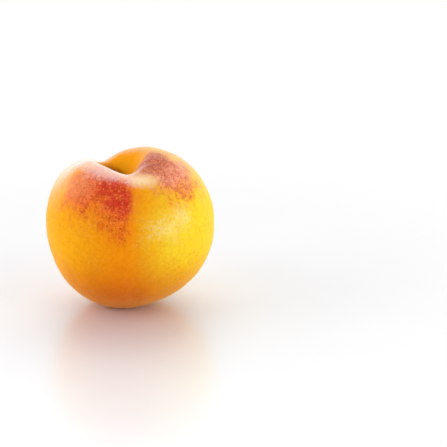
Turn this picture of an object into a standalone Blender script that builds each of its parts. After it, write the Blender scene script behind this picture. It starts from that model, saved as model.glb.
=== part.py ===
"""A ripe yellow peach as one closed solid, at real size, standing on its blossom end.

Frame: metres, +Z up along the stem axis. The suture faces -Y and the fuller cheek lies at +X. The origin is
under the middle of the fruit's box, on the plane that the fruit stands on.

The skin is one closed surface. Each point of a round body is given by its polar angle from the stem and its
azimuth from the suture. The stem cavity, the suture and the blossom dimple are then pressed into that body.
A pair of sizes gives the slim cheek's value at -X, then the full cheek's at +X.
"""

import math

import bpy
import numpy as np

MM = 0.001

# Body: sizes of the round body before anything is pressed into it
CHEEK_WIDTH = 74.4 * MM
FRONT_TO_BACK = 71.5 * MM
BODY_HEIGHT = 74.0 * MM
SHOULDER_SQUARENESS = (2.00, 2.55)
BASE_SQUARENESS = 2.0
SQUARENESS_CHANGES = (-0.9, 0.9)
TAPER = (0.05, 0.01)
STEM_SHIFT = (-4.0 * MM, -4.0 * MM)
BLOSSOM_SHIFT = (-4.0 * MM, 0.0 * MM)

# Stem cavity: a funnel, longer along the suture than across it
CAVITY_DEPTH = 18.0 * MM
CAVITY_ACROSS = 8.5 * MM
CAVITY_ALONG = 9.7 * MM
CAVITY_STEEPNESS = 2.2

# Scar that the picked stalk leaves on the cavity's floor
SCAR_RADIUS = 2.4 * MM
SCAR_RIM_HEIGHT = 0.7 * MM
SCAR_RIM_WIDTH = 0.8 * MM

# Suture: a deep notch in the cavity's rim, then a shallow groove in a broad valley down the front
SUTURE_OFFSET = 4.6 * MM
SUTURE_STARTS = 12.0 * MM
NOTCH_DEPTH = 6.6 * MM
NOTCH_WIDTHS = (7.6 * MM, 6.0 * MM)
NOTCH_POLAR = math.radians(15.0)
NOTCH_SPREAD = math.radians(17.0)
GROOVE_DEPTH = 0.5 * MM
GROOVE_WIDTH = 3.2 * MM
GROOVE_FADES = (math.radians(145.0), math.radians(165.0))
VALLEY_DEPTH = 0.8 * MM
VALLEY_WIDTH = 13.0 * MM

# Saddle on the far side of the rim, where the two cheeks meet behind the stalk
SADDLE_BEARING = math.radians(-36.5)
SADDLE_DEPTH = 6.3 * MM
SADDLE_WIDTHS = (14.5 * MM, 11.0 * MM)
SADDLE_POLAR = math.radians(29.5)
SADDLE_SPREAD = math.radians(28.5)

# Blossom end: a dimple with the dry tip in it, inside the flat ring that the fruit stands on
FOOT_RISE = 1.0 * MM
DIMPLE_DEPTH = 1.9 * MM
DIMPLE_RADIUS = 3.4 * MM
TIP_HEIGHT = 0.6 * MM
TIP_RADIUS = 0.9 * MM
POLE_FADE = 0.4

# Mesh: columns round the stem, closer together at the suture, and zones of rows by polar angle from the stem.
# The base has the body's plain squareness, so one row runs along the flat ring's outer edge.
COLUMNS = 76
SUTURE_CROWDING = 0.45
FOOT_POLAR = math.pi - math.acos(1.0 - 2.0 * FOOT_RISE / BODY_HEIGHT)
ZONE_ENDS = (0.0, math.radians(6.0), math.radians(32.0), FOOT_POLAR, math.pi)
ZONE_ROWS = (6, 13, 25, 9)

SKIN_COLOUR = (0.93, 0.42, 0.03, 1.0)
SKIN_ROUGHNESS = 0.6


def smooth_step(low, high, value):
    """0 below low and 1 above high, with a smooth rise between them."""
    share = np.clip((value - low) / (high - low), 0.0, 1.0)
    return share * share * (3.0 - 2.0 * share)


def between(ends, share):
    """The value at a share of the way from the first end to the second."""
    return ends[0] + (ends[1] - ends[0]) * share


def bell(distance, width):
    """1 at no distance, falling smoothly to 0 a few widths away."""
    return np.exp(-((distance / width) ** 2))


def fold(across, widths):
    """A bell that has its own width on each cheek's side."""
    slim_side, full_side = widths
    return bell(across, np.where(across < 0.0, slim_side, full_side))


def round_body(polar, azimuth):
    """Points of the plain body: squarer at the shoulders than at the base, its ends shifted off its middle."""
    high, out = np.cos(polar), np.sin(polar)
    full_side = smooth_step(-1.0, 1.0, out * np.sin(azimuth))
    shoulder = between(SHOULDER_SQUARENESS, full_side)
    squareness = between((BASE_SQUARENESS, shoulder), smooth_step(*SQUARENESS_CHANGES, high))
    reach = (np.abs(out) ** squareness + np.abs(high) ** squareness) ** (-1.0 / squareness)
    stem_side = np.maximum(high, 0.0) ** 2
    blossom_side = np.minimum(high, 0.0) ** 2
    width = reach * out * (1.0 + between(TAPER, full_side) * high)
    x = width * np.sin(azimuth) * CHEEK_WIDTH / 2
    y = -width * np.cos(azimuth) * FRONT_TO_BACK / 2
    z = reach * high * BODY_HEIGHT / 2
    shift = [STEM_SHIFT[axis] * stem_side + BLOSSOM_SHIFT[axis] * blossom_side for axis in (0, 1)]
    return x, y, z, shift


def suture_depth(polar, x, y):
    """How deep the suture is pressed in, in front of the stem."""
    in_front = smooth_step(0.0, SUTURE_STARTS, -y)
    across = x - SUTURE_OFFSET * in_front
    at_rim = bell(polar - NOTCH_POLAR, NOTCH_SPREAD)
    notch = NOTCH_DEPTH * at_rim * fold(across, NOTCH_WIDTHS)
    groove = GROOVE_DEPTH * (1.0 - at_rim) * bell(across, GROOVE_WIDTH)
    valley = VALLEY_DEPTH * bell(across, VALLEY_WIDTH)
    return (notch + groove + valley) * in_front * (1.0 - smooth_step(*GROOVE_FADES, polar))


def saddle_depth(polar, x, y):
    """How deep the rim's far side is pressed in, behind the stem."""
    along = x * math.sin(SADDLE_BEARING) + y * math.cos(SADDLE_BEARING)
    across = x * math.cos(SADDLE_BEARING) - y * math.sin(SADDLE_BEARING)
    behind = smooth_step(0.0, SUTURE_STARTS, along)
    return SADDLE_DEPTH * behind * fold(across, SADDLE_WIDTHS) * bell(polar - SADDLE_POLAR, SADDLE_SPREAD)


def cavity_depth(polar, x, y):
    """How far the stem cavity sinks below the plain body, less the scar's raised ring."""
    funnel = np.sqrt((x / CAVITY_ACROSS) ** 2 + (y / CAVITY_ALONG) ** 2)
    sunk = CAVITY_DEPTH * np.exp(-(funnel**CAVITY_STEEPNESS))
    ring = SCAR_RIM_HEIGHT * bell(np.hypot(x, y) - SCAR_RADIUS, SCAR_RIM_WIDTH)
    return (sunk - ring) * smooth_step(0.0, POLE_FADE, np.cos(polar))


def dimple_rise(polar, x, y):
    """How far the dimple lifts the base, less the dry tip that hangs in it."""
    from_tip = np.hypot(x, y)
    dimple = DIMPLE_DEPTH * bell(from_tip, DIMPLE_RADIUS) - TIP_HEIGHT * bell(from_tip, TIP_RADIUS)
    return dimple * smooth_step(0.0, POLE_FADE, -np.cos(polar))


def skin_points(polar, azimuth):
    """Points of the finished skin, with the flat ring at the base on the lowest plane."""
    x, y, z, shift = round_body(polar, azimuth)
    pressed = suture_depth(polar, x, y) + saddle_depth(polar, x, y)
    inward = 1.0 - pressed / np.sqrt(x * x + y * y + z * z)
    z = z * inward - cavity_depth(polar, x, y) + dimple_rise(polar, x, y)
    z = np.maximum(z, FOOT_RISE - BODY_HEIGHT / 2)
    return np.stack([x * inward + shift[0], y * inward + shift[1], z], axis=-1)


def row_angles():
    """Polar angles of the mesh's rows between the two poles."""
    zones = zip(ZONE_ENDS[:-1], ZONE_ENDS[1:], ZONE_ROWS)
    rows = [np.linspace(start, end, count, endpoint=False) for start, end, count in zones]
    return np.concatenate(rows)[1:]


def column_angles():
    """Azimuths of the mesh's columns from the suture."""
    even = np.arange(COLUMNS) * 2.0 * math.pi / COLUMNS
    return even - SUTURE_CROWDING * np.sin(even)


def centred(points):
    """The points moved so that their box stands on z = 0, over the origin."""
    low, high = points.min(axis=0), points.max(axis=0)
    return points - [(low[0] + high[0]) / 2, (low[1] + high[1]) / 2, low[2]]


def skin_mesh():
    """The closed skin: rings of quads between a fan at the stem scar and a fan at the blossom tip."""
    polar, azimuth = np.meshgrid(row_angles(), column_angles(), indexing="ij")
    rows = polar.shape[0]
    rings = skin_points(polar, azimuth).reshape(-1, 3)
    poles = skin_points(np.array([0.0, math.pi]), np.zeros(2))
    points = centred(np.concatenate([rings, poles]))
    stem, tip = rows * COLUMNS, rows * COLUMNS + 1

    faces = []
    for column in range(COLUMNS):
        following = (column + 1) % COLUMNS
        faces.append((stem, column, following))
        for row in range(rows - 1):
            upper, lower = row * COLUMNS, (row + 1) * COLUMNS
            faces.append((upper + column, lower + column, lower + following, upper + following))
        last = (rows - 1) * COLUMNS
        faces.append((last + column, tip, last + following))

    mesh = bpy.data.meshes.new("peach")
    mesh.from_pydata(points.tolist(), [], faces)
    mesh.shade_smooth()
    return mesh


def skin_material():
    """Ripe yellow skin, matt with its down."""
    material = bpy.data.materials.new("peach_skin")
    material.use_nodes = True
    shader = material.node_tree.nodes["Principled BSDF"]
    shader.inputs["Base Color"].default_value = SKIN_COLOUR
    shader.inputs["Roughness"].default_value = SKIN_ROUGHNESS
    shader.inputs["Metallic"].default_value = 0.0
    return material


def clear_scene():
    """Removes every object, so that the fruit stands alone."""
    for obj in list(bpy.data.objects):
        bpy.data.objects.remove(obj, do_unlink=True)


def main():
    """Builds the fruit and puts it in the scene."""
    clear_scene()
    mesh = skin_mesh()
    mesh.materials.append(skin_material())
    peach = bpy.data.objects.new("peach", mesh)
    bpy.context.scene.collection.objects.link(peach)


main()
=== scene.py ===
"""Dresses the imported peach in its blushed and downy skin, on a pale studio floor in soft light.

Frame: metres, +Z up along the stem axis, the suture towards -Y and the fuller cheek at +X.
"""

import logging
import math
from dataclasses import asdict, dataclass
from enum import Enum
from typing import Any

import bpy
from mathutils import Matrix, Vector


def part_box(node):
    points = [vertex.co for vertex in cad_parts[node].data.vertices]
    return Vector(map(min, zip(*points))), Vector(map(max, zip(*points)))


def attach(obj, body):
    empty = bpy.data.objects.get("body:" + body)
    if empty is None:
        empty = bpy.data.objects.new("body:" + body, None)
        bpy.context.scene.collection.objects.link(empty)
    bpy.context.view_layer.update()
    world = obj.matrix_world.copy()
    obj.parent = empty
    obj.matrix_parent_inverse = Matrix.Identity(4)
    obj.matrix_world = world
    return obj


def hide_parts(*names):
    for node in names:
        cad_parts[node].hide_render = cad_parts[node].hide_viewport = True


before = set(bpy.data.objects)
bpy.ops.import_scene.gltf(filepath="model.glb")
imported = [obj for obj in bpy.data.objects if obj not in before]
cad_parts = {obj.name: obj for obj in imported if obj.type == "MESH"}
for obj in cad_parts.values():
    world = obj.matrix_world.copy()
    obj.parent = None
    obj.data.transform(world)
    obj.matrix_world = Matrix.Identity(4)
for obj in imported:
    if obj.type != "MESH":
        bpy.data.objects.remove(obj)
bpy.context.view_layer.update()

MM = 0.001
FRUIT = "peach"
BODY = "root"

log = logging.getLogger("peach")

Triple = tuple[float, float, float]
WHITE = (1.0, 1.0, 1.0)


def opaque(colour: Triple) -> tuple[float, float, float, float]:
    """The colour with nothing showing through it."""
    return (*colour, 1.0)


def in_metres(lengths: Triple) -> Triple:
    """Three lengths in metres, from the same three in millimetres."""
    return tuple(length * MM for length in lengths)


def socket_of(sockets: Any, identifier: str) -> bpy.types.NodeSocket:
    """The one of these sockets that has this identifier, because two sockets can share a name."""
    return next(each for each in sockets if each.identifier == identifier)


class Term:
    """A number that changes over a surface. Arithmetic on it adds Math nodes to its tree."""

    def __init__(self, graph: "Graph", socket: bpy.types.NodeSocket) -> None:
        """Wraps a node's output socket.

        Args:
            graph: The tree that the node stands in.
            socket: The output socket.
        """
        self.graph = graph
        self.socket = socket

    def __add__(self, other: "Number") -> "Term":
        """self + other."""
        return self.graph.maths("ADD", self, other)

    def __radd__(self, other: float) -> "Term":
        """other + self."""
        return self.graph.maths("ADD", other, self)

    def __sub__(self, other: "Number") -> "Term":
        """self - other."""
        return self.graph.maths("SUBTRACT", self, other)

    def __rsub__(self, other: float) -> "Term":
        """other - self."""
        return self.graph.maths("SUBTRACT", other, self)

    def __mul__(self, other: "Number") -> "Term":
        """self * other."""
        return self.graph.maths("MULTIPLY", self, other)

    def __rmul__(self, other: float) -> "Term":
        """other * self."""
        return self.graph.maths("MULTIPLY", other, self)

    def __truediv__(self, other: "Number") -> "Term":
        """self / other."""
        return self.graph.maths("DIVIDE", self, other)

    def __rtruediv__(self, other: float) -> "Term":
        """other / self."""
        return self.graph.maths("DIVIDE", other, self)

    def __pow__(self, other: "Number") -> "Term":
        """self ** other."""
        return self.graph.maths("POWER", self, other)

    def __rpow__(self, other: float) -> "Term":
        """other ** self."""
        return self.graph.maths("POWER", other, self)

    def __neg__(self) -> "Term":
        """-self."""
        return self.graph.maths("MULTIPLY", self, -1.0)

    def __gt__(self, other: "Number") -> "Term":
        """1 where self is above other, else 0."""
        return self.graph.maths("GREATER_THAN", self, other)

    def __lt__(self, other: "Number") -> "Term":
        """1 where self is below other, else 0."""
        return self.graph.maths("LESS_THAN", self, other)


Number = float | Term


class Graph:
    """A node tree that is filled node by node."""

    def __init__(self, tree: bpy.types.NodeTree) -> None:
        """Takes the tree to fill."""
        self.tree = tree

    def node(self, kind: str, settings: dict[str, Any], sockets: dict[str, Any]) -> bpy.types.Node:
        """Adds a node, sets it up and feeds its sockets.

        Args:
            kind: The node's type.
            settings: Its own properties, such as a Math node's operation.
            sockets: A value or a link for each of its sockets, by the socket's identifier.

        Returns:
            The new node.
        """
        made = self.tree.nodes.new(kind)
        for name, value in settings.items():
            setattr(made, name, value)
        for identifier, value in sockets.items():
            socket = socket_of(made.inputs, identifier)
            if isinstance(value, Term):
                value = value.socket
            if isinstance(value, bpy.types.NodeSocket):
                self.tree.links.new(value, socket)
            else:
                socket.default_value = value
        return made

    def maths(self, operation: str, *values: Number) -> Term:
        """Adds a Math node.

        Args:
            operation: The node's operation.
            *values: Up to three numbers, fixed or varying.

        Returns:
            The node's result.
        """
        sockets = dict(zip(("Value", "Value_001", "Value_002"), values))
        return Term(self, self.node("ShaderNodeMath", {"operation": operation}, sockets).outputs[0])

    def step(self, low: Number, high: Number, value: Number) -> Term:
        """A smooth rise from 0 to 1.

        Args:
            low: Where it starts to rise.
            high: Where it reaches 1.
            value: The number that is looked at.

        Returns:
            0 below low and 1 above high.
        """
        sockets = {"Value": value, "From Min": low, "From Max": high}
        made = self.node("ShaderNodeMapRange", {"interpolation_type": "SMOOTHSTEP"}, sockets)
        return Term(self, made.outputs[0])

    def between(self, first: Number, second: Number, share: Number) -> Term:
        """The value at a share of the way from the first to the second.

        Args:
            first: The value at a share of 0.
            second: The value at a share of 1.
            share: From 0 to 1.

        Returns:
            The value between them.
        """
        sockets = {"Factor_Float": share, "A_Float": first, "B_Float": second}
        made = self.node("ShaderNodeMix", {"data_type": "FLOAT"}, sockets)
        return Term(self, made.outputs[0])

    def bell(self, distance: Term, width: Number) -> Term:
        """1 at no distance, falling smoothly to 0 a few widths away.

        Args:
            distance: The distance from the bell's middle.
            width: How wide the bell is.

        Returns:
            The bell's height.
        """
        share = distance / width
        return self.maths("EXPONENT", -(share * share))

    def vector(self, operation: str, first: Any, second: Any) -> bpy.types.NodeSocket:
        """Adds a Vector Math node.

        Args:
            operation: The node's operation.
            first: The first vector, fixed or linked.
            second: The second one.

        Returns:
            The vector that it makes.
        """
        sockets = {"Vector": first, "Vector_001": second}
        return self.node("ShaderNodeVectorMath", {"operation": operation}, sockets).outputs[0]

    def length(self, vector: bpy.types.NodeSocket) -> Term:
        """The length of a vector."""
        made = self.node("ShaderNodeVectorMath", {"operation": "LENGTH"}, {"Vector": vector})
        return Term(self, made.outputs["Value"])

    def level(self, across: Term, along: Term) -> Term:
        """The length of a vector's two level parts."""
        return self.maths("SQRT", across * across + along * along)

    def parts(self, vector: bpy.types.NodeSocket) -> tuple[Term, Term, Term]:
        """The x, y and z of a vector."""
        made = self.node("ShaderNodeSeparateXYZ", {}, {"Vector": vector})
        return tuple(Term(self, socket) for socket in made.outputs)

    def whole(self, x: Number, y: Number, z: Number) -> bpy.types.NodeSocket:
        """The vector with these parts."""
        return self.node("ShaderNodeCombineXYZ", {}, {"X": x, "Y": y, "Z": z}).outputs[0]

    def noise(self, place: bpy.types.NodeSocket, period: Number, detail: float, rough: float = 0.5) -> Term:
        """Soft random mottling.

        Args:
            place: Where it is read, in metres.
            period: The usual distance between two blotches, in metres.
            detail: How many finer layers are added.
            rough: How strong each finer layer is, against the one before.

        Returns:
            A number about 0.5, mostly within 0.3 and 0.7.
        """
        sockets = {"Vector": place, "Scale": 1.0 / period, "Detail": detail, "Roughness": rough}
        return Term(self, self.node("ShaderNodeTexNoise", {}, sockets).outputs[0])


@dataclass(frozen=True)
class Relief:
    """A relief that is shaded and not built.

    Attributes:
        distance: What a height of 1 stands for, in metres.
        strength: How much of it is used.
    """

    distance: float
    strength: float


class MaterialGraph(Graph):
    """A material's tree, which starts from places in the object's own frame.

    Attributes:
        disorder: How far its cells stray from even rows, from 0 to 1.
    """

    disorder = 0.9

    def __init__(self, name: str) -> None:
        """Makes an empty material.

        Args:
            name: The material's name.
        """
        self.material = bpy.data.materials.new(name)
        self.material.use_nodes = True
        super().__init__(self.material.node_tree)
        self.tree.nodes.clear()
        self.place = self.node("ShaderNodeTexCoord", {}, {}).outputs["Object"]

    def offset(self, middle: Triple) -> bpy.types.NodeSocket:
        """The way to each place from a middle, which is given in millimetres."""
        return self.vector("SUBTRACT", self.place, in_metres(middle))

    def shares(self, middle: Triple, reach: Triple) -> bpy.types.NodeSocket:
        """The way to each place from a middle, in shares of a reach. Both are given in millimetres."""
        return self.vector("DIVIDE", self.offset(middle), in_metres(reach))

    def cells(self, size: float) -> Term:
        """Small round cells, packed at random.

        Args:
            size: The usual distance between two middles, in metres.

        Returns:
            0 in the middle of each cell, rising to about 0.8 between cells.
        """
        sockets = {"Vector": self.place, "Scale": 1.0 / size, "Randomness": self.disorder}
        return Term(self, self.node("ShaderNodeTexVoronoi", {}, sockets).outputs[0])

    def mix(self, under: Any, over: Any, share: Number) -> bpy.types.NodeSocket:
        """Lays one colour over another.

        Args:
            under: The colour below, fixed or linked.
            over: The colour above, fixed or linked.
            share: How much of it shows, from 0 to 1.

        Returns:
            The mixed colour.
        """
        below, above = (opaque(colour) if isinstance(colour, tuple) else colour for colour in (under, over))
        sockets = {"Factor_Float": share, "A_Color": below, "B_Color": above}
        return socket_of(self.node("ShaderNodeMix", {"data_type": "RGBA"}, sockets).outputs, "Result_Color")

    def bump(self, height: Term, relief: Relief, normal: Any = None) -> bpy.types.NodeSocket:
        """Turns a height into a bent normal.

        Args:
            height: The height, from 0 to 1.
            relief: How deep the relief is.
            normal: The normal that is bent further, if there is one.

        Returns:
            The bent normal.
        """
        sockets = {"Strength": relief.strength, "Distance": relief.distance, "Height": height}
        if normal is not None:
            sockets["Normal"] = normal
        return self.node("ShaderNodeBump", {}, sockets).outputs[0]

    def finish(self, shader: bpy.types.Node) -> bpy.types.Material:
        """Ends the tree in this shader and returns the material."""
        self.node("ShaderNodeOutputMaterial", {}, {"Surface": shader.outputs[0]})
        return self.material


class GrowthGraph(Graph):
    """A Geometry Nodes tree with named inputs, which makes one plain mesh."""

    def __init__(self, name: str, sizes: Any) -> None:
        """Makes an empty tree, with a geometry going in and one coming out.

        Args:
            name: The tree's name.
            sizes: A dataclass of numbers, each of which becomes a named input.
        """
        super().__init__(bpy.data.node_groups.new(name, "GeometryNodeTree"))
        sockets = self.tree.interface
        sockets.new_socket("Geometry", in_out="OUTPUT", socket_type="NodeSocketGeometry")
        sockets.new_socket("Geometry", in_out="INPUT", socket_type="NodeSocketGeometry")
        self.entry = self.node("NodeGroupInput", {}, {})
        self.geometry = self.entry.outputs[0]
        self.place = self.node("GeometryNodeInputPosition", {}, {}).outputs[0]
        self.values: dict[str, Any] = {}
        self.size = {key: Term(self, self.input(key, "NodeSocketFloat", number))
                     for key, number in asdict(sizes).items()}

    def input(self, name: str, kind: str, value: Any) -> bpy.types.NodeSocket:
        """Adds a named input.

        Args:
            name: The input's name.
            kind: Its socket type.
            value: What the modifier sets it to.

        Returns:
            The socket that it is read from.
        """
        item = self.tree.interface.new_socket(name, in_out="INPUT", socket_type=kind)
        self.values[item.identifier] = value
        return socket_of(self.entry.outputs, item.identifier)

    def moved(self, geometry: bpy.types.NodeSocket, sockets: dict[str, Any]) -> bpy.types.NodeSocket:
        """The geometry with its points set by these sockets."""
        return self.node("GeometryNodeSetPosition", {}, {"Geometry": geometry, **sockets}).outputs[0]

    def finish(self, geometry: bpy.types.NodeSocket, material: bpy.types.Material) -> None:
        """Ends the tree: every instance is made real and given the material.

        Args:
            geometry: What the tree has made.
            material: Its material.
        """
        real = self.node("GeometryNodeRealizeInstances", {}, {"Geometry": geometry}).outputs[0]
        finish = self.input("Finish", "NodeSocketMaterial", material)
        dressed = self.node("GeometryNodeSetMaterial", {}, {"Geometry": real, "Material": finish})
        self.tree.links.new(dressed.outputs[0], self.node("NodeGroupOutput", {}, {}).inputs[0])

    def grow(self, name: str, start: bpy.types.Mesh) -> bpy.types.Object:
        """Runs the tree and keeps its result as a plain mesh.

        Args:
            name: The new piece's name.
            start: The mesh that goes into the tree.

        Returns:
            The piece, with no modifier left on it.
        """
        piece = bpy.data.objects.new(name, start)
        bpy.context.scene.collection.objects.link(piece)
        modifier = piece.modifiers.new("growth", "NODES")
        modifier.node_group = self.tree
        for identifier, value in self.values.items():
            modifier[identifier] = value
        seen = piece.evaluated_get(bpy.context.evaluated_depsgraph_get())
        mesh = bpy.data.meshes.new_from_object(seen)
        piece.modifiers.remove(modifier)
        piece.data = mesh
        mesh.name = name
        return piece


@dataclass(frozen=True)
class Ramp:
    """A smooth rise, from 0 at its low end to 1 at its high end."""

    low: float
    high: float

    def up(self, value: Term) -> Term:
        """How far a value has risen, from 0 to 1."""
        return value.graph.step(self.low, self.high, value)

    def down(self, value: Term) -> Term:
        """How far a value still has to rise, from 1 to 0."""
        return 1.0 - self.up(value)


@dataclass(frozen=True)
class Mottling:
    """A random pattern.

    Attributes:
        period: The usual distance between two blotches, in metres.
        detail: How many finer layers are added.
        rough: How strong each finer layer is, against the one before.
        shown: How high the pattern is where a blotch begins and where it is full.
    """

    period: float
    detail: float = 2.0
    rough: float = 0.5
    shown: Ramp = Ramp(0.0, 1.0)

    def level(self, graph: MaterialGraph, place: Any = None) -> Term:
        """The pattern's height, about 0.5.

        Args:
            graph: The material's tree.
            place: Where it is read, if not at each point's own place.

        Returns:
            The height.
        """
        return graph.noise(graph.place if place is None else place, self.period, self.detail, self.rough)

    def blotches(self, graph: MaterialGraph) -> Term:
        """1 in the pattern's blotches and 0 between them."""
        return self.shown.up(self.level(graph))


@dataclass(frozen=True)
class Tint:
    """A colour, and how much of it shows at the most."""

    colour: Triple
    most: float = 1.0


@dataclass(frozen=True)
class Spot:
    """A round patch on the skin, in millimetres.

    Attributes:
        centre: Its middle.
        reach: How far it reaches along x, y and z.
    """

    centre: Triple
    reach: Triple

    def dome(self, graph: MaterialGraph) -> Term:
        """1 in its middle, falling evenly to 0 at its reach and below 0 past it."""
        return 1.0 - graph.length(graph.shares(self.centre, self.reach))


def highest(graph: MaterialGraph, spots: tuple[Spot, ...]) -> Term:
    """The height of the highest dome at each place.

    Args:
        graph: The material's tree.
        spots: One or more spots.

    Returns:
        The highest dome's height.
    """
    height = spots[0].dome(graph)
    for spot in spots[1:]:
        height = graph.maths("MAXIMUM", height, spot.dome(graph))
    return height


def swing(pattern: Term, size: float) -> Term:
    """Turns a pattern about 0.5 into a swing about 0, which is this size from end to end."""
    return (pattern - 0.5) * size


@dataclass(frozen=True)
class Blush:
    """One layer of the blush: stippled dots over a thin wash.

    Attributes:
        tint: Its colour.
        gain: How steeply it rises towards its middle.
        edge: How softly each of its dots ends.
        spots: Where it lies.
        ends_at_suture: Whether it keeps to the slim cheek.
    """

    tint: Tint
    gain: float
    edge: float
    spots: tuple[Spot, ...]
    ends_at_suture: bool = False


class SkinGraph(MaterialGraph):
    """The skin's tree: the patterns that its layers share, and the colour that is laid on so far."""

    def __init__(self, finish: "SkinFinish") -> None:
        """Makes the tree and its shared patterns.

        Args:
            finish: The finish that gives the patterns and the first colour.
        """
        super().__init__("peach_skin")
        self.x, self.y, self.z = self.parts(self.place)
        self.broad = finish.broad.level(self)
        self.grain = finish.grain.level(self)
        self.fine = finish.fine.level(self)
        self.lenticels = self.cells(finish.lenticel_size)
        self.streaks = finish.streaked(self)
        self.broken = (swing(self.broad, finish.broken_broad) + swing(self.grain, finish.broken_grain)
                       + swing(self.streaks, finish.broken_streaks))
        self.slim_front = finish.on_slim_front(self)
        self.clear = finish.undimmed(self)
        self.colour: Any = finish.orange

    def lay(self, tint: Tint, share: Term) -> None:
        """Lays a tint over the colour so far, at its strongest where the share is 1."""
        self.colour = self.mix(self.colour, tint.colour, share * tint.most)


@dataclass(frozen=True)
class SkinFinish:
    """Ripe peach skin: yellow to orange ground with painted shade low in front, red and dusky blush in
    stipple, painted sheen and a painted highlight, a cavity floor darkened partly by painted shade, and a
    corky scar.

    Spots, middles and reaches are in millimetres, and what is multiplied by MM is in metres. The rest has no
    unit. A wander shifts a layer's edge in broad waves and broken does so in finer ones. A rim is the ramp
    over which the layer fades in.
    """

    # Patterns that the layers share
    broad: Mottling = Mottling(12.0 * MM)
    grain: Mottling = Mottling(0.95 * MM, rough=0.6)
    fine: Mottling = Mottling(0.45 * MM)
    lenticel_size: float = 1.25 * MM
    streaks: Mottling = Mottling(1.3 * MM, 3.0, 0.6)
    streak_reach: float = 20.0 * MM
    streak_run: float = 0.12
    stem_middle: Triple = (-4.0, -4.0, 0.0)
    stem_blur: float = 2.0 * MM
    broken_broad: float = 0.9
    broken_grain: float = 0.7
    broken_streaks: float = 0.4

    # Ground
    orange: Triple = (0.95, 0.31, 0.002)
    golden: Tint = Tint((0.96, 0.43, 0.003))
    yellow: Tint = Tint((0.96, 0.67, 0.022))
    # The darker orange low in front is painted shade.
    painted_shade_orange: Tint = Tint((0.71, 0.112, 0.001), 0.95)
    ground_wander: float = 14.0 * MM
    slim_cheek: Ramp = Ramp(3.0 * MM, 27.0 * MM)
    full_cheek: Ramp = Ramp(0.0, 20.0 * MM)
    full_wander: float = 0.8
    yellow_lost_behind: float = 0.5
    back: Ramp = Ramp(-4.0 * MM, 30.0 * MM)
    front: Ramp = Ramp(-30.0 * MM, 34.0 * MM)
    front_wander: float = 0.5
    base: Ramp = Ramp(-38.0 * MM, -4.0 * MM)

    # Flecks, pores, clouds and pale dots in the ground
    fleck_colour: Triple = (0.52, 0.085, 0.001)
    cream: Triple = (1.0, 0.82, 0.52)
    mottle: Tint = Tint(fleck_colour, 0.12)
    mottle_shown: Ramp = Ramp(0.38, 0.72)
    mottle_grain: float = 0.6
    fleck: Tint = Tint(fleck_colour, 0.17)
    flecks: Mottling = Mottling(1.7 * MM, 3.0, 0.65, Ramp(0.54, 0.68))
    pore: Tint = Tint(fleck_colour, 0.09)
    pore_size: float = 1.9 * MM
    pore_rim: Ramp = Ramp(0.30, 0.70)
    cloud: Tint = Tint(orange, 0.22)
    clouds: Mottling = Mottling(26.0 * MM, 3.0, 0.6, Ramp(0.46, 0.66))
    pale_dot: Tint = Tint(cream, 0.16)
    pale_dot_rim: Ramp = Ramp(0.10, 0.30)
    half_shown: Ramp = Ramp(0.40, 0.60)

    # Blush, from the faintest layer to the strongest on each cheek
    orange_red: Triple = (0.86, 0.165, 0.008)
    pink_orange: Triple = (0.92, 0.25, 0.035)
    far_blush: Blush = Blush(Tint(orange_red, 0.38), 0.8, 0.50, (
        Spot((-27.0, 12.0, 54.0), (25.0, 27.0, 24.0)),
        Spot((10.0, 27.0, 50.0), (30.0, 21.0, 22.0)),
    ))
    halo: Blush = Blush(Tint(pink_orange, 0.34), 0.8, 0.40, (
        Spot((-13.0, -21.0, 60.0), (28.0, 24.0, 21.0)),
        Spot((15.0, -12.0, 65.0), (27.0, 25.0, 17.0)),
    ))
    orange_spread: Blush = Blush(Tint(orange_red, 0.82), 1.05, 0.30, (
        Spot((-12.0, -24.5, 59.0), (20.5, 17.0, 15.0)),
        Spot((-3.5, -33.5, 49.0), (11.0, 10.0, 12.0)),
    ), ends_at_suture=True)
    red_band: Blush = Blush(Tint((0.85, 0.120, 0.040), 0.90), 1.25, 0.30, (
        Spot((-2.0, -30.5, 58.0), (11.0, 11.0, 11.0)),
        Spot((-9.0, -26.0, 63.0), (13.0, 10.0, 7.5)),
        Spot((-17.0, -24.0, 62.0), (14.5, 11.0, 10.5)),
    ), ends_at_suture=True)
    crimson_core: Blush = Blush(Tint((0.64, 0.030, 0.018), 0.85), 1.35, 0.34, (
        Spot((-1.0, -31.0, 57.5), (8.0, 9.0, 8.5)),
        Spot((-5.5, -27.5, 62.0), (8.5, 8.0, 6.0)),
    ), ends_at_suture=True)
    pink_spread: Blush = Blush(Tint(pink_orange, 0.85), 1.0, 0.24, (
        Spot((19.0, -18.5, 62.5), (19.0, 17.0, 13.5)),
    ))
    pink_band: Blush = Blush(Tint((0.92, 0.37, 0.25), 0.85), 1.2, 0.28, (
        Spot((17.0, -14.5, 66.5), (18.0, 17.0, 12.5)),
    ))
    dusky_core: Blush = Blush(Tint((0.43, 0.085, 0.062), 0.88), 1.5, 0.34, (
        Spot((9.5, -11.5, 69.5), (13.5, 14.5, 10.0)),
    ))
    wander: Mottling = Mottling(6.0 * MM, 3.0)
    wander_most: float = 1.2
    wander_streaks: float = 0.5
    suture_edge: Ramp = Ramp(0.6 * MM, 4.8 * MM)
    suture_wander: float = 1.6 * MM
    suture_grain: float = 3.0 * MM
    wash: Ramp = Ramp(-0.2, 0.9)
    wash_most: float = 0.52
    dots_most: float = 0.48
    dot_level: float = 0.45
    dot_depth: float = 1.8
    patch_rim: Ramp = Ramp(-0.35, 0.15)
    net_grain: float = 0.5
    net_streaks: float = 0.3
    net_lenticels: float = 0.2
    net_rim: Ramp = Ramp(0.1, 0.75)

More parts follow.
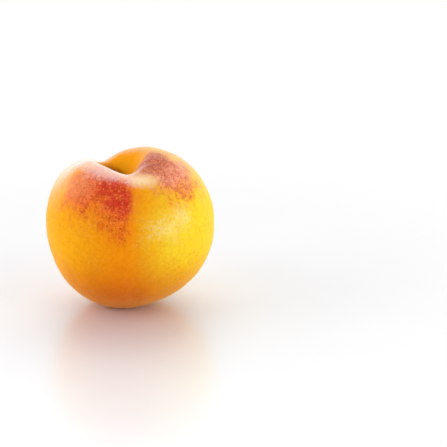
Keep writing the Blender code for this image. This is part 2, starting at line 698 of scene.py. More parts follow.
    # Pebbles, lenticels and specks in the blush
    speck_colour: Triple = (0.46, 0.030, 0.008)
    pebble_size: float = 2.4 * MM
    between_pebbles: Tint = Tint(speck_colour, 0.44)
    pebble_rim: Ramp = Ramp(0.35, 0.75)
    on_pebbles: Tint = Tint(pink_orange, 0.46)
    pebble_middle: Ramp = Ramp(0.05, 0.45)
    lenticel: Tint = Tint((0.98, 0.36, 0.06), 0.80)
    lenticel_rim: Ramp = Ramp(0.15, 0.42)
    speck: Tint = Tint(speck_colour, 0.70)
    specks: Mottling = Mottling(0.85 * MM, shown=Ramp(0.54, 0.66))
    specked_blush: Ramp = Ramp(0.15, 0.9)

    # Painted sheen on the slim shoulder, along the cavity's rim and in the notch, where the down catches the
    # light
    shoulder: tuple[Spot, ...] = (
        Spot((-24.0, -18.5, 61.0), (15.0, 14.0, 13.0)),
        Spot((-29.0, -9.0, 59.0), (11.0, 15.0, 15.0)),
    )
    # Painted sheen: a peachy whitening on the slim shoulder.
    peachy_sheen: Tint = Tint((0.98, 0.42, 0.17), 0.62)
    peachy_rim: Ramp = Ramp(-0.1, 1.1)
    peachy_broken: float = 1.1
    # Painted sheen's pink-white, along the crest, in the notch and in the down's haze.
    sheen_pink_white: Triple = (0.97, 0.87, 0.87)
    rim_middle: Triple = (-2.8, -4.0, 0.0)
    rim_reach: Triple = (14.9, 17.0, 1.0)
    crest_place: float = 1.06
    crest_width: float = 0.28
    crest_height: Ramp = Ramp(55.0 * MM, 64.0 * MM)
    crest_rim: Ramp = Ramp(0.0, 1.1)
    crest_broken: float = 1.3
    crest_kept: Ramp = Ramp(0.0, 0.4)
    crest_least: float = 0.06
    crest_most: float = 0.50
    slim_front: Ramp = Ramp(3.0 * MM, 17.0 * MM)
    slim_front_across: float = 0.5
    slim_front_along: float = 0.85
    notch: tuple[Spot, ...] = (Spot((6.5, -24.5, 65.0), (10.0, 7.0, 6.0)),)
    notch_rim: Ramp = Ramp(-0.05, 0.85)
    notch_kept: Ramp = Ramp(-0.5, 0.1)
    notch_broken: float = 0.9
    notch_most: float = 0.76
    creamy: Ramp = Ramp(-1.0 * MM, 6.0 * MM)
    creamy_wander: float = 8.0 * MM
    dusk: Ramp = Ramp(-0.1, 0.45)
    dusk_broken: float = 0.4
    dusk_most: float = 0.85

    # Painted highlight on the full cheek: a pale net, with darker lines of painted shade
    glint: tuple[Spot, ...] = (
        Spot((17.5, -30.5, 45.0), (11.0, 10.0, 9.0)),
        Spot((24.0, -25.5, 48.5), (9.0, 9.0, 8.0)),
    )
    # Painted highlight: a pale straw net.
    highlight_straw: Tint = Tint((1.0, 0.80, 0.34), 0.44)
    glint_gain: float = 0.8
    glint_wander: float = 1.2
    glint_edge: float = 0.32
    glint_depth: float = 2.4
    glint_line: Tint = Tint(orange, 0.22)
    glint_lines: Mottling = Mottling(1.4 * MM, shown=Ramp(0.52, 0.62))
    glint_rim: Ramp = Ramp(0.0, 0.5)

    # The down's sheen, where the skin turns away
    pale: Triple = (1.0, 0.64, 0.12)
    turned: Ramp = Ramp(0.38, 0.90)
    upper: Ramp = Ramp(45.0 * MM, 70.0 * MM)
    haze_low: float = 0.22
    haze_full: float = 0.28
    haze_slim: float = 0.96
    haze_on_dusk: float = 0.35

    # Stem cavity, scar and dry tip
    hollow: Tint = Tint((0.95, 0.41, 0.003), 0.9)
    # The cavity floor's brown is partly its own red-brown and partly painted shade.
    hollow_floor_and_shade: Tint = Tint((0.26, 0.035, 0.004), 0.88)
    hollow_middle: Triple = (-4.0, -3.0, 0.0)
    hollow_wall: Ramp = Ramp(7.0 * MM, 13.5 * MM)
    hollow_wander: float = 4.0 * MM
    hollow_height: Ramp = Ramp(45.0 * MM, 50.0 * MM)
    hollow_depth: Ramp = Ramp(57.4 * MM, 60.7 * MM)
    hollow_slope: float = 0.44
    hollow_grain: float = 1.5 * MM
    cork: Tint = Tint((0.24, 0.085, 0.020))
    scar: tuple[Spot, ...] = (Spot((-3.97, -4.32, 55.0), (3.4, 3.4, 3.0)),)
    scar_rim: Ramp = Ramp(0.0, 0.35)
    tip: tuple[Spot, ...] = (Spot((-3.97, -0.32, 1.0), (1.5, 1.5, 2.0)),)
    tip_rim: Ramp = Ramp(0.0, 0.4)
    cork_broken: float = 0.4

    # Surface
    roughness: float = 0.62
    rougher_grain: float = 0.25
    rougher_cork: float = 0.25
    coarse: Mottling = Mottling(2.6 * MM)
    coarse_relief: Relief = Relief(0.12 * MM, 0.6)
    grain_relief: Relief = Relief(0.14 * MM, 0.8)
    fine_relief: Relief = Relief(0.05 * MM, 0.5)
    gloss: float = 0.03
    sheen: float = 0.10
    sheen_roughness: float = 0.35
    sheen_tint: Triple = (1.0, 0.88, 0.80)

    def streaked(self, graph: MaterialGraph) -> Term:
        """Fine streaks that run from the stem down the cheeks.

        Args:
            graph: The material's tree.

        Returns:
            The streaks, as a pattern about 0.5.
        """
        across, along, height = graph.parts(graph.offset(self.stem_middle))
        level = graph.maths("SQRT", across * across + along * along + self.stem_blur**2)
        bearing = [part / level * self.streak_reach for part in (across, along)]
        return self.streaks.level(graph, graph.whole(*bearing, (height - level) * self.streak_run))

    def ground(self, graph: SkinGraph) -> None:
        """Lays the ground: orange in front, golden behind and on the slim cheek, yellow on the full one, and a
        darker orange low in front that is painted shade.

        Args:
            graph: The skin's tree.
        """
        wander = swing(graph.broad, self.ground_wander)
        behind = self.back.up(graph.y + wander)
        graph.lay(self.golden, graph.maths("MAXIMUM", self.slim_cheek.up(wander - graph.x), behind))
        full = self.full_cheek.up(graph.x + wander * self.full_wander)
        graph.lay(self.yellow, full * (1.0 - behind * self.yellow_lost_behind))
        # Painted shade: a darker orange low in front, under the belly.
        low = self.base.up(wander - graph.z)
        graph.lay(self.painted_shade_orange, low * self.front.up(wander * self.front_wander - graph.y))

    def flecked(self, graph: SkinGraph) -> None:
        """Mottles the ground with soft clouds, deeper flecks and pores, and pale dots.

        Args:
            graph: The skin's tree.
        """
        grainy = graph.grain * self.mottle_grain + graph.broad * (1.0 - self.mottle_grain)
        graph.lay(self.mottle, self.mottle_shown.up(grainy))
        graph.lay(self.fleck, self.flecks.blotches(graph))
        graph.lay(self.pore, self.pore_rim.up(graph.cells(self.pore_size)))
        graph.lay(self.cloud, self.clouds.blotches(graph))
        graph.lay(self.pale_dot, self.pale_dot_rim.down(graph.lenticels) * self.half_shown.up(graph.broad))

    def stippled(self, graph: SkinGraph, height: Term, net: Term, edge: float, depth: float) -> Term:
        """Breaks a soft patch into fine dots that thin out towards its rim.

        Args:
            graph: The skin's tree.
            height: The patch, as a dome.
            net: The pattern that gives the dots.
            edge: How softly each dot ends.
            depth: How far the pattern moves the rim.

        Returns:
            How much of the patch's colour shows, from 0 to 1.
        """
        dots = graph.step(self.dot_level - edge, self.dot_level + edge, height + swing(net, depth))
        return dots * self.patch_rim.up(height)

    def blushed(self, graph: SkinGraph) -> None:
        """Lays the blush over the ground, with its pebbles, lenticels and specks.

        Args:
            graph: The skin's tree.
        """
        wander = swing(self.wander.level(graph), self.wander_most) + swing(graph.streaks, self.wander_streaks)
        pitted = self.net_rim.up(graph.lenticels) * self.net_lenticels
        net = graph.grain * self.net_grain + graph.streaks * self.net_streaks + pitted
        ragged = graph.x + wander * self.suture_wander + swing(graph.grain, self.suture_grain)
        slim_side = self.suture_edge.down(ragged)
        covered = 0.0
        for layer in (self.far_blush, self.halo, self.orange_spread, self.red_band, self.crimson_core,
                      self.pink_spread, self.pink_band, self.dusky_core):
            height = highest(graph, layer.spots) * layer.gain + wander
            dots = self.stippled(graph, height, net, layer.edge, self.dot_depth)
            share = dots * self.dots_most + self.wash.up(height) * self.wash_most
            if layer.ends_at_suture:
                share = share * slim_side
            graph.lay(layer.tint, share)
            covered = graph.maths("MAXIMUM", share * layer.tint.most, covered)

        pebbles = graph.cells(self.pebble_size)
        graph.lay(self.between_pebbles, self.pebble_rim.up(pebbles) * covered)
        graph.lay(self.on_pebbles, self.pebble_middle.down(pebbles) * covered)
        dots = self.lenticel_rim.down(graph.lenticels) * self.half_shown.up(graph.grain)
        graph.lay(self.lenticel, dots * covered)
        graph.lay(self.speck, self.specks.blotches(graph) * self.specked_blush.up(covered))

    def on_slim_front(self, graph: SkinGraph) -> Term:
        """1 on the front of the slim cheek, and 0 behind and on the full one."""
        return self.slim_front.up(graph.x * -self.slim_front_across - graph.y * self.slim_front_along)

    def undimmed(self, graph: SkinGraph) -> Term:
        """How much of the painted sheen shows: all of it, apart from the dusky blush."""
        dusky = highest(graph, self.dusky_core.spots) + graph.broken * self.dusk_broken
        return 1.0 - self.dusk.up(dusky) * self.dusk_most

    def sheen_painted(self, graph: SkinGraph) -> None:
        """Lays painted sheen, a pale whitening where the down catches the light, on the slim shoulder, along
        the cavity's rim and in the notch.

        Args:
            graph: The skin's tree.
        """
        shoulder = highest(graph, self.shoulder) + graph.broken * self.peachy_broken
        # Painted sheen on the slim shoulder.
        graph.lay(self.peachy_sheen, self.peachy_rim.up(shoulder))

        across, along, _ = graph.parts(graph.shares(self.rim_middle, self.rim_reach))
        crest = graph.bell(graph.level(across, along) - self.crest_place, self.crest_width)
        crest = crest * self.crest_height.up(graph.z)
        crest = self.crest_rim.up(crest + graph.broken * self.crest_broken) * self.crest_kept.up(crest)
        crest = crest * graph.between(self.crest_least, self.crest_most, graph.slim_front)
        in_notch = highest(graph, self.notch)
        notch_sheen = self.notch_rim.up(in_notch + graph.broken * self.notch_broken)
        notch_sheen = notch_sheen * self.notch_kept.up(in_notch) * self.notch_most
        creamy = self.creamy.up(graph.x + swing(graph.broad, self.creamy_wander))
        # Painted sheen along the rim's crest and in the notch.
        share = graph.maths("MAXIMUM", crest, notch_sheen) * graph.clear
        graph.colour = graph.mix(graph.colour, graph.mix(self.sheen_pink_white, self.cream, creamy), share)

    def glinted(self, graph: SkinGraph) -> None:
        """Lays a painted highlight on the full cheek: a pale net, with fine orange lines of painted shade
        through it.

        Args:
            graph: The skin's tree.
        """
        glint = highest(graph, self.glint)
        height = glint * self.glint_gain + swing(graph.broad, self.glint_wander)
        # Painted highlight in a pale net, with darker orange lines of painted shade.
        graph.lay(self.highlight_straw, self.stippled(graph, height, graph.grain, self.glint_edge, self.glint_depth))
        graph.lay(self.glint_line, self.glint_rim.up(glint) * self.glint_lines.blotches(graph))

    def hazed(self, graph: SkinGraph) -> None:
        """Lays the down's sheen: a pale haze where the skin turns away, strongest on the slim shoulder.

        Args:
            graph: The skin's tree.
        """
        facing = Term(graph, graph.node("ShaderNodeLayerWeight", {}, {"Blend": 0.5}).outputs["Facing"])
        upper = self.upper.up(graph.z)
        above = graph.between(self.haze_full, self.haze_slim, graph.slim_front)
        most = graph.between(self.haze_low, above, upper)
        kept = self.haze_on_dusk + graph.clear * (1.0 - self.haze_on_dusk)
        haze = graph.mix(self.pale, self.sheen_pink_white, upper)
        graph.colour = graph.mix(graph.colour, haze, self.turned.up(facing) * most * kept)

    def hollowed(self, graph: SkinGraph) -> None:
        """Colours the stem cavity amber under its rim and brown on its floor, the floor's brown partly its own
        red-brown and partly painted shade.

        Args:
            graph: The skin's tree.
        """
        across, along, _ = graph.parts(graph.offset(self.hollow_middle))
        level = graph.level(across, along) + swing(graph.broad, self.hollow_wander)
        inside = self.hollow_wall.down(level) * self.hollow_height.up(graph.z)
        graph.lay(self.hollow, inside)
        # Darker towards the cavity's floor, along a line that tilts with the near rim: partly the floor's own
        # red-brown, partly painted shade.
        height = graph.z + graph.x * self.hollow_slope + swing(graph.grain, self.hollow_grain)
        graph.lay(self.hollow_floor_and_shade, inside * self.hollow_depth.down(height))

    def dried(self, graph: SkinGraph) -> Term:
        """Lays cork on the stalk's scar and the blossom's tip.

        Args:
            graph: The skin's tree.

        Returns:
            1 on the cork and 0 round it.
        """
        broken = swing(graph.fine, self.cork_broken)
        scar = self.scar_rim.up(highest(graph, self.scar) + broken)
        tip = self.tip_rim.up(highest(graph, self.tip) + broken)
        dry = graph.maths("MAXIMUM", scar, tip)
        graph.lay(self.cork, dry)
        return dry

    def material(self) -> bpy.types.Material:
        """Builds the skin's material.

        Returns:
            The material.
        """
        graph = SkinGraph(self)
        self.ground(graph)
        self.flecked(graph)
        self.blushed(graph)
        self.sheen_painted(graph)
        self.glinted(graph)
        self.hazed(graph)
        self.hollowed(graph)
        dry = self.dried(graph)

        normal = graph.bump(self.coarse.level(graph), self.coarse_relief)
        normal = graph.bump(graph.grain, self.grain_relief, normal)
        normal = graph.bump(graph.fine, self.fine_relief, normal)
        shader = graph.node("ShaderNodeBsdfPrincipled", {}, {
            "Base Color": graph.colour,
            "Roughness": self.roughness + swing(graph.grain, self.rougher_grain) + dry * self.rougher_cork,
            "Normal": normal,
            "Specular IOR Level": self.gloss,
            "Sheen Weight": self.sheen,
            "Sheen Roughness": self.sheen_roughness,
            "Sheen Tint": opaque(self.sheen_tint),
        })
        return graph.finish(shader)


@dataclass(frozen=True)
class DownFinish:
    """The down's hairs, in one plain pale straw."""

    colour: Triple = (0.95, 0.68, 0.18)
    roughness: float = 0.7
    gloss: float = 0.2

    def material(self) -> bpy.types.Material:
        """Builds the down's material.

        Returns:
            The material.
        """
        graph = MaterialGraph("peach_down")
        shader = graph.node("ShaderNodeBsdfPrincipled", {}, {
            "Base Color": opaque(self.colour),
            "Roughness": self.roughness,
            "Specular IOR Level": self.gloss,
        })
        return graph.finish(shader)


@dataclass(frozen=True)
class FloorFinish:
    """A plain white lacquered studio floor, which fades into the white surround."""

    paint: Triple = (0.84, 0.85, 0.87)
    worn_paint: Triple = (0.82, 0.83, 0.85)
    worn: Mottling = Mottling(60.0 * MM, shown=Ramp(0.35, 0.65))
    roughness: float = 0.28
    gloss: float = 0.8
    lacquer: float = 1.0
    lacquer_roughness: float = 0.23
    glow: float = 1.0
    fade: Ramp = Ramp(30.0 * MM, 250.0 * MM)

    def material(self) -> bpy.types.Material:
        """Builds the floor's material.

        Returns:
            The material.
        """
        graph = MaterialGraph("studio_floor")
        painted = graph.node("ShaderNodeBsdfPrincipled", {}, {
            "Base Color": graph.mix(self.paint, self.worn_paint, self.worn.blotches(graph)),
            "Roughness": self.roughness,
            "Specular IOR Level": self.gloss,
            "Coat Weight": self.lacquer,
            "Coat Roughness": self.lacquer_roughness,
        })
        white = graph.node("ShaderNodeEmission", {}, {"Color": opaque(WHITE), "Strength": self.glow})
        far = self.fade.up(graph.length(graph.place))
        sockets = {"Fac": far, "Shader": painted.outputs[0], "Shader_001": white.outputs[0]}
        return graph.finish(graph.node("ShaderNodeMixShader", {}, sockets))


@dataclass(frozen=True)
class FruitSizes:
    """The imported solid's own sizes, in metres and radians, and at the end those of the skin's low relief."""

    cheek_width: float = 74.4 * MM
    front_to_back: float = 71.5 * MM
    body_height: float = 74.0 * MM
    shoulder_slim: float = 2.00
    shoulder_full: float = 2.55
    base_squareness: float = 2.0
    squareness_changes: float = 0.9
    taper_slim: float = 0.05
    taper_full: float = 0.01
    stem_shift_x: float = -4.0 * MM
    stem_shift_y: float = -4.0 * MM
    blossom_shift_x: float = -4.0 * MM
    cavity_depth: float = 18.0 * MM
    cavity_across: float = 8.5 * MM
    cavity_along: float = 9.7 * MM
    cavity_steepness: float = 2.2
    scar_radius: float = 2.4 * MM
    scar_rim_height: float = 0.7 * MM
    scar_rim_width: float = 0.8 * MM
    suture_offset: float = 4.6 * MM
    suture_starts: float = 12.0 * MM
    notch_depth: float = 6.6 * MM
    notch_width_slim: float = 7.6 * MM
    notch_width_full: float = 6.0 * MM
    notch_polar: float = math.radians(15.0)
    notch_spread: float = math.radians(17.0)
    groove_depth: float = 0.5 * MM
    groove_width: float = 3.2 * MM
    groove_fades: float = math.radians(145.0)
    groove_ends: float = math.radians(165.0)
    valley_depth: float = 0.8 * MM
    valley_width: float = 13.0 * MM
    saddle_bearing: float = math.radians(-36.5)
    saddle_depth: float = 6.3 * MM
    saddle_width_slim: float = 14.5 * MM
    saddle_width_full: float = 11.0 * MM
    saddle_polar: float = math.radians(29.5)
    saddle_spread: float = math.radians(28.5)
    foot_rise: float = 1.0 * MM
    dimple_depth: float = 1.9 * MM
    dimple_radius: float = 3.4 * MM
    tip_height: float = 0.6 * MM
    tip_radius: float = 0.9 * MM
    pole_fade: float = 0.4
    swell_height: float = 0.55 * MM
    swell_period: float = 17.0 * MM
    ripple_height: float = 0.14 * MM
    ripple_period: float = 3.2 * MM


@dataclass(frozen=True)
class Point:
    """A point of the round body.

    Attributes:
        polar: Its polar angle from the stem.
        x: Where it lies across, in metres.
        y: Where it lies along, in metres.
        z: Its height above the body's middle, in metres.
    """

    polar: Term
    x: Term
    y: Term
    z: Term


class Skin:
    """The fruit's skin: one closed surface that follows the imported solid's rule, with a low relief.

    Attributes:
        points_along_side: How many points each side of the starting cube has.
        crowding: How much closer together they lie at the stem and at the blossom end.
        above_foot: Where the relief starts above the foot, and where it is full.
    """

    points_along_side = 121
    crowding = 0.4
    above_foot = Ramp(1.0 * MM, 7.0 * MM)

    def __init__(self, sizes: FruitSizes, finish: SkinFinish) -> None:
        """Takes the sizes and the finish."""
        self.sizes = sizes
        self.finish = finish

    def directions(self, graph: GrowthGraph) -> tuple[Term, Term, Term, Term]:
        """Spreads a cube's points evenly round a ball, closer together at its two ends.

        Args:
            graph: The tree, whose points still lie on a cube from -1 to 1.

        Returns:
            The polar angle from the stem, the height and the two level parts of the direction.
        """
        x, y, z = (graph.maths("TANGENT", part * (math.pi / 4)) for part in graph.parts(graph.place))
        level = graph.level(x, y)
        even = graph.maths("ARCTAN2", level, z)
        polar = even - self.crowding / 2 * graph.maths("SINE", even * 2.0)
        out = graph.maths("SINE", polar)
        return polar, graph.maths("COSINE", polar), x / level * out, y / level * out

    def body(self, graph: GrowthGraph) -> Point:
        """The round body before anything is pressed into it.

        Args:
            graph: The tree.

        Returns:
            The point of the body.
        """
        size = graph.size
        polar, high, dx, dy = self.directions(graph)
        full_side = graph.step(-1.0, 1.0, dx)
        shoulder = graph.between(size["shoulder_slim"], size["shoulder_full"], full_side)
        changes = size["squareness_changes"]
        square = graph.between(size["base_squareness"], shoulder, graph.step(-changes, changes, high))
        out = graph.level(dx, dy)
        reach = (out**square + graph.maths("ABSOLUTE", high) ** square) ** (-1.0 / square)
        taper = 1.0 + graph.between(size["taper_slim"], size["taper_full"], full_side) * high
        x = reach * taper * dx * size["cheek_width"] / 2.0
        y = reach * taper * dy * size["front_to_back"] / 2.0
        return Point(polar, x, y, reach * high * size["body_height"] / 2.0)

    def fold(self, graph: GrowthGraph, across: Term, width: str) -> Term:
        """A bell that has its own width on each cheek's side.

        Args:
            graph: The tree.
            across: The distance from the fold's middle, below 0 on the slim cheek.
            width: The name that its two widths share.

        Returns:
            The bell's height.
        """
        slim, full = (graph.size[width + cheek] for cheek in ("_slim", "_full"))
        return graph.bell(across, graph.between(full, slim, across < 0.0))

    def suture(self, graph: GrowthGraph, point: Point) -> Term:
        """How deep the suture is pressed in, in front of the stem.

        Args:
            graph: The tree.
            point: The point of the round body.

        Returns:
            The depth.
        """
        size = graph.size
        in_front = graph.step(0.0, size["suture_starts"], -point.y)
        across = point.x - size["suture_offset"] * in_front
        at_rim = graph.bell(point.polar - size["notch_polar"], size["notch_spread"])
        notch = size["notch_depth"] * at_rim * self.fold(graph, across, "notch_width")
        groove = size["groove_depth"] * (1.0 - at_rim) * graph.bell(across, size["groove_width"])
        valley = size["valley_depth"] * graph.bell(across, size["valley_width"])
        ends = 1.0 - graph.step(size["groove_fades"], size["groove_ends"], point.polar)
        return (notch + groove + valley) * in_front * ends

    def saddle(self, graph: GrowthGraph, point: Point) -> Term:
        """How deep the rim's far side is pressed in, behind the stem.

        Args:
            graph: The tree.
            point: The point of the round body.

        Returns:
            The depth.
        """
        size = graph.size
        sine, cosine = (graph.maths(way, size["saddle_bearing"]) for way in ("SINE", "COSINE"))
        behind = graph.step(0.0, size["suture_starts"], point.x * sine + point.y * cosine)
        fold = self.fold(graph, point.x * cosine - point.y * sine, "saddle_width")
        at_rim = graph.bell(point.polar - size["saddle_polar"], size["saddle_spread"])
        return size["saddle_depth"] * behind * fold * at_rim

    def ends(self, graph: GrowthGraph, point: Point) -> Term:
        """How far the stem cavity and the blossom dimple lift or lower a point.

        Args:
            graph: The tree.
            point: The point of the round body.

        Returns:
            The change in height, below 0 in the cavity.
        """
        size = graph.size
        funnel = graph.level(point.x / size["cavity_across"], point.y / size["cavity_along"])
        sunk = size["cavity_depth"] * graph.maths("EXPONENT", -(funnel ** size["cavity_steepness"]))
        level = graph.level(point.x, point.y)
        ring = size["scar_rim_height"] * graph.bell(level - size["scar_radius"], size["scar_rim_width"])
        dimple = size["dimple_depth"] * graph.bell(level, size["dimple_radius"])
        tip = size["tip_height"] * graph.bell(level, size["tip_radius"])
        high = graph.maths("COSINE", point.polar)
        at_stem = graph.step(0.0, size["pole_fade"], high)
        at_blossom = graph.step(0.0, size["pole_fade"], -high)
        return (dimple - tip) * at_blossom - (sunk - ring) * at_stem

    def shaped(self, graph: GrowthGraph) -> bpy.types.NodeSocket:
        """Where each point of the cube goes on the finished skin.

        Args:
            graph: The tree.

        Returns:
            The place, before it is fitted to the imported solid's box.
        """
        size = graph.size
        point = self.body(graph)
        pressed = self.suture(graph, point) + self.saddle(graph, point)
        from_middle = graph.maths("SQRT", point.x * point.x + point.y * point.y + point.z * point.z)
        inward = 1.0 - pressed / from_middle
        low = point.z * inward + self.ends(graph, point)
        foot = size["foot_rise"] - size["body_height"] / 2.0
        high = graph.maths("COSINE", point.polar)
        stem = graph.maths("MAXIMUM", high, 0.0) ** 2.0
        blossom = graph.maths("MINIMUM", high, 0.0)
        x = point.x * inward + size["stem_shift_x"] * stem + size["blossom_shift_x"] * (blossom * blossom)
        y = point.y * inward + size["stem_shift_y"] * stem
        return graph.whole(x, y, graph.maths("MAXIMUM", low, foot))

    def fitted(self, graph: GrowthGraph, geometry: bpy.types.NodeSocket) -> bpy.types.NodeSocket:
        """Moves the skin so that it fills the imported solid's box.

        Args:
            graph: The tree.
            geometry: The shaped skin.

        Returns:
            The skin in its place.
        """
        corners = [graph.input(name, "NodeSocketVector", list(corner))
                   for name, corner in zip(("Box Low", "Box High"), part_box(FRUIT))]
        own = graph.node("GeometryNodeBoundBox", {}, {"Geometry": geometry})
        sockets = {
            "Vector": graph.place,
            "From_Min_FLOAT3": own.outputs["Min"],
            "From_Max_FLOAT3": own.outputs["Max"],
            "To_Min_FLOAT3": corners[0],
            "To_Max_FLOAT3": corners[1],
        }
        settings = {"data_type": "FLOAT_VECTOR", "clamp": False}
        mapped = graph.node("ShaderNodeMapRange", settings, sockets)
        return graph.moved(geometry, {"Position": mapped.outputs["Vector"]})

    def relief(self, graph: GrowthGraph, geometry: bpy.types.NodeSocket) -> bpy.types.NodeSocket:
        """Lifts and lowers the skin a little, apart from the foot that it stands on.

        Args:
            graph: The tree.
            geometry: The skin in its place.

        Returns:
            The skin with its relief.
        """
        height = 0.0
        for name in ("swell", "ripple"):
            wave = graph.noise(graph.place, graph.size[name + "_period"], 1.0) - 0.5
            height = wave * graph.size[name + "_height"] * 2.0 + height
        above_foot = self.above_foot.up(graph.parts(graph.place)[2])
        normal = graph.node("GeometryNodeInputNormal", {}, {}).outputs[0]
        sockets = {"Vector": normal, "Scale": height * above_foot}
        offset = graph.node("ShaderNodeVectorMath", {"operation": "SCALE"}, sockets).outputs[0]
        return graph.moved(geometry, {"Offset": offset})

    def build(self) -> bpy.types.Object:
        """Makes the skin.

        Returns:
            The skin as a plain mesh.
        """
        graph = GrowthGraph("peach_skin_growth", self.sizes)
        count = graph.input("Points Along Side", "NodeSocketInt", self.points_along_side)
        sockets = {"Size": (2.0, 2.0, 2.0), "Vertices X": count, "Vertices Y": count, "Vertices Z": count}
        cube = graph.node("GeometryNodeMeshCube", {}, sockets).outputs[0]
        shaped = graph.moved(cube, {"Position": self.shaped(graph)})
        relief = self.relief(graph, self.fitted(graph, shaped))
        smooth = graph.node("GeometryNodeSetShadeSmooth", {}, {"Geometry": relief}).outputs[0]
        graph.finish(smooth, self.finish.material())
        return graph.grow("peach_skin", bpy.data.meshes.new("empty"))

    def dress(self, piece: bpy.types.Object) -> None:
        """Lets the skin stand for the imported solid.

        Args:
            piece: The finished skin.
        """
        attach(piece, BODY)
        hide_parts(FRUIT)


class Zone(Enum):
    """A band of the skin, from its lowest to its highest height, in metres."""

    CROWN = (48.0 * MM, 100.0 * MM)
    BELLY = (25.0 * MM, 48.0 * MM)
    BASE = (0.8 * MM, 25.0 * MM)


@dataclass(frozen=True)
class HairSizes:
    """One zone's down, in metres.

    Attributes:
        per_area: Hairs on a square metre.
        shortest: The shortest hair.
        longest: The longest hair.
        thickness: A hair's radius where it leaves the skin.
        lean: The most that a hair leans over, in radians.
    """

    per_area: float = 5.0e6
    shortest: float = 0.30 * MM
    longest: float = 0.70 * MM
    thickness: float = 0.009 * MM
    lean: float = 0.6


class Down:
    """The short hairs that stand on the skin, as tapered spikes with a closed foot.

    Attributes:
        seed: The seed of every random draw.
        sides: How many sides a hair has.
    """

    seed = 7
    sides = 3

    def __init__(self, sizes: HairSizes, finish: DownFinish) -> None:
        """Takes the sizes and the finish."""
        self.sizes = sizes
        self.material = finish.material()

    def build(self, zone: Zone, skin: bpy.types.Object) -> bpy.types.Object:
        """Grows one zone's hairs.

        Args:
            zone: The band of skin that they stand on.
            skin: The finished skin.

        Returns:
            The hairs as a plain mesh.
        """
        graph = GrowthGraph("peach_down_growth", self.sizes)
        size = graph.size
        low, high = (Term(graph, graph.input(name, "NodeSocketFloat", height))
                     for name, height in zip(("Zone Low", "Zone High"), zone.value))
        seed = graph.input("Seed", "NodeSocketInt", self.seed)
        z = graph.parts(graph.place)[2]
        roots = graph.node("GeometryNodeDistributePointsOnFaces", {}, {
            "Mesh": graph.geometry,
            "Selection": (z > low) * (z < high),
            "Density": size["per_area"],
            "Seed": seed,
        })
        hair = graph.node("GeometryNodeMeshCone", {"fill_type": "NGON"}, {
            "Vertices": self.sides,
            "Radius Bottom": size["thickness"],
            "Radius Top": 0.0,
            "Depth": size["longest"],
        }).outputs["Mesh"]
        sideways = size["lean"]
        lean = graph.node("FunctionNodeRandomValue", {"data_type": "FLOAT_VECTOR"}, {
            "Min": graph.whole(-sideways, -sideways, -math.pi),
            "Max": graph.whole(sideways, sideways, math.pi),
            "Seed": seed,
        })
        turn = graph.node("FunctionNodeEulerToRotation", {}, {"Euler": lean.outputs["Value"]}).outputs[0]
        standing = graph.node("FunctionNodeRotateRotation", {"rotation_space": "LOCAL"}, {
            "Rotation": roots.outputs["Rotation"],
            "Rotate By": turn,
        }).outputs[0]
        sockets = {"Min_001": size["shortest"] / size["longest"], "Max_001": 1.0, "Seed": self.seed + 1}
        length = graph.node("FunctionNodeRandomValue", {"data_type": "FLOAT"}, sockets)
        share = socket_of(length.outputs, "Value_001")
        hairs = graph.node("GeometryNodeInstanceOnPoints", {}, {
            "Points": roots.outputs["Points"],
            "Instance": hair,
            "Rotation": standing,
            "Scale": graph.whole(1.0, 1.0, Term(graph, share)),
        }).outputs[0]
        graph.finish(hairs, self.material)
        return graph.grow("peach_down_" + zone.name.lower(), skin.data)

    def dress(self, piece: bpy.types.Object) -> None:
        """Lets the hairs move with the fruit."""
        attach(piece, BODY)


@dataclass(frozen=True)
class Floor:
    """The pale floor that the fruit stands on."""

    radius: float = 2.0
    corners: int = 96
    finish: FloorFinish = FloorFinish()

    def build(self) -> bpy.types.Object:
        """Makes the floor as one round face, on the plane that the fruit stands on.

        Returns:
            The floor.
        """
        angles = [2.0 * math.pi * corner / self.corners for corner in range(self.corners)]
        points = [(self.radius * math.cos(angle), self.radius * math.sin(angle), 0.0) for angle in angles]
        mesh = bpy.data.meshes.new("studio_floor")
        mesh.from_pydata(points, [], [tuple(range(self.corners))])
        mesh.materials.append(self.finish.material())
        floor = bpy.data.objects.new("studio_floor", mesh)
        bpy.context.scene.collection.objects.link(floor)
        return floor


@dataclass(frozen=True)
class SoftBox:
    """A square lamp with a diffuser.

    Attributes:
        name: Its name.
        place: Where it hangs, in metres.
        aim: The point that it faces.
        side: How wide it is.
        power: Its power in watts.
        colour: Its colour.
    """

    name: str
    place: Triple
    aim: Triple
    side: float
    power: float
    colour: Triple = WHITE

    def build(self) -> bpy.types.Object:
        """Makes the lamp, which lights the scene and isn't seen itself.

        Returns:
            The lamp.
        """
        light = bpy.data.lights.new(self.name, "AREA")
        light.shape = "SQUARE"
        light.size = self.side
        light.energy = self.power
        light.color = self.colour
        lamp = bpy.data.objects.new(self.name, light)
        lamp.location = self.place
        facing = Vector(self.aim) - Vector(self.place)
        lamp.rotation_euler = facing.to_track_quat("-Z", "Y").to_euler()
        lamp.visible_camera = False
        bpy.context.scene.collection.objects.link(lamp)
        return lamp


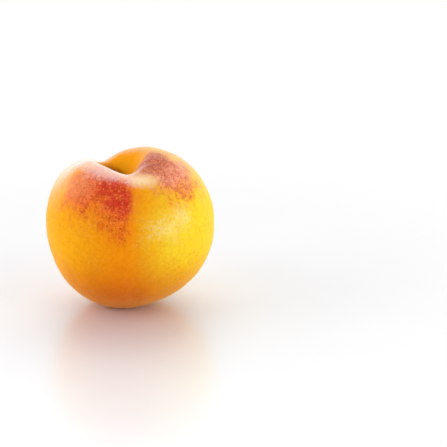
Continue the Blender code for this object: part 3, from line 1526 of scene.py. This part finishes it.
@dataclass(frozen=True)
class Surround:
    """The white studio round the stage: brightest above and behind, dim low in front.

    Attributes:
        least: How bright it is everywhere.
        above: How much brighter it is overhead.
        behind: How much brighter it is behind the fruit.
        beside: How much brighter it is at the sides.
        rising: Where the overhead light starts and is full, by the height of the direction.
        receding: The same for the light behind, by how far the direction points away.
        sideways: The same for the light at the sides, by how far it points left or right.
    """

    least: float = 0.17
    above: float = 0.28
    behind: float = 0.55
    beside: float = 0.75
    rising: Ramp = Ramp(0.0, 0.9)
    receding: Ramp = Ramp(-0.4, 0.8)
    sideways: Ramp = Ramp(0.3, 0.95)

    def build(self) -> bpy.types.World:
        """Makes the world's light.

        Returns:
            The world.
        """
        world = bpy.data.worlds.new("studio_surround")
        bpy.context.scene.world = world
        world.use_nodes = True
        world.node_tree.nodes.clear()
        graph = Graph(world.node_tree)
        direction = graph.node("ShaderNodeTexCoord", {}, {}).outputs["Generated"]
        x, y, z = graph.parts(direction)
        overhead = self.rising.up(z) * self.above
        far_side = self.receding.up(y) * self.behind
        sides = self.sideways.up(graph.maths("ABSOLUTE", x)) * self.beside
        strength = self.least + overhead + far_side + sides
        light = graph.node("ShaderNodeBackground", {}, {"Color": opaque(WHITE), "Strength": strength})
        graph.node("ShaderNodeOutputWorld", {}, {"Surface": light.outputs[0]})
        return world


@dataclass(frozen=True)
class PhotoCamera:
    """The photograph's camera, which looks along +Y and a little down.

    Attributes:
        elevation: How far it looks down, in radians.
        lens: Its focal length, in millimetres.
        sensor: The width of its sensor, in millimetres.
        distance: How far it stands from its target, in metres.
        target: The point that it looks at, in metres.
        nearest: The nearest distance that it sees, in metres.
    """

    elevation: float = math.radians(18.34)
    lens: float = 120.0
    sensor: float = 36.0
    distance: float = 0.6667
    target: Triple = (0.0416, 0.00036, 0.03707)
    nearest: float = 10.0 * MM

    def build(self) -> bpy.types.Object:
        """Makes the camera and gives it to the scene.

        Returns:
            The camera.
        """
        data = bpy.data.cameras.new("camera")
        data.lens = self.lens
        data.sensor_width = self.sensor
        data.clip_start = self.nearest
        camera = bpy.data.objects.new("camera", data)
        back = Vector((0.0, -math.cos(self.elevation), math.sin(self.elevation)))
        camera.location = Vector(self.target) + back * self.distance
        camera.rotation_euler = (math.pi / 2 - self.elevation, 0.0, 0.0)
        bpy.context.scene.collection.objects.link(camera)
        bpy.context.scene.camera = camera
        return camera


@dataclass(frozen=True)
class Studio:
    """The floor, the lamps, the surround and the camera."""

    floor: Floor = Floor()
    surround: Surround = Surround()
    camera: PhotoCamera = PhotoCamera()
    lamps: tuple[SoftBox, ...] = (
        SoftBox("key_lamp", (0.0, 0.60, 0.80), (0.0, 0.0, 0.03), 0.8, 3.2),
        SoftBox("left_lamp", (-0.85, -0.25, 0.30), (0.0, 0.0, 0.04), 0.5, 3.0),
        SoftBox("right_lamp", (0.76, -0.42, 0.20), (0.0, 0.0, 0.04), 0.35, 2.7),
    )

    def build(self) -> None:
        """Makes the whole stage."""
        self.floor.build()
        self.surround.build()
        self.camera.build()
        for lamp in self.lamps:
            lamp.build()
        bpy.context.scene.view_settings.view_transform = "Standard"
        log.info("studio: floor, surround, camera and %d lamps", len(self.lamps))


def report(piece: bpy.types.Object) -> None:
    """Logs a piece's name and how many faces it has."""
    log.info("%s: %d faces", piece.name, len(piece.data.polygons))


def main() -> None:
    """Builds the studio and the fruit."""
    logging.basicConfig(level=logging.INFO, format="%(name)s: %(message)s")
    Studio().build()
    skin = Skin(FruitSizes(), SkinFinish())
    skin_piece = skin.build()
    down = Down(HairSizes(), DownFinish())
    hair_pieces = [down.build(zone, skin_piece) for zone in Zone]
    skin.dress(skin_piece)
    report(skin_piece)
    for piece in hair_pieces:
        down.dress(piece)
        report(piece)


if __name__ == "__main__":
    main()
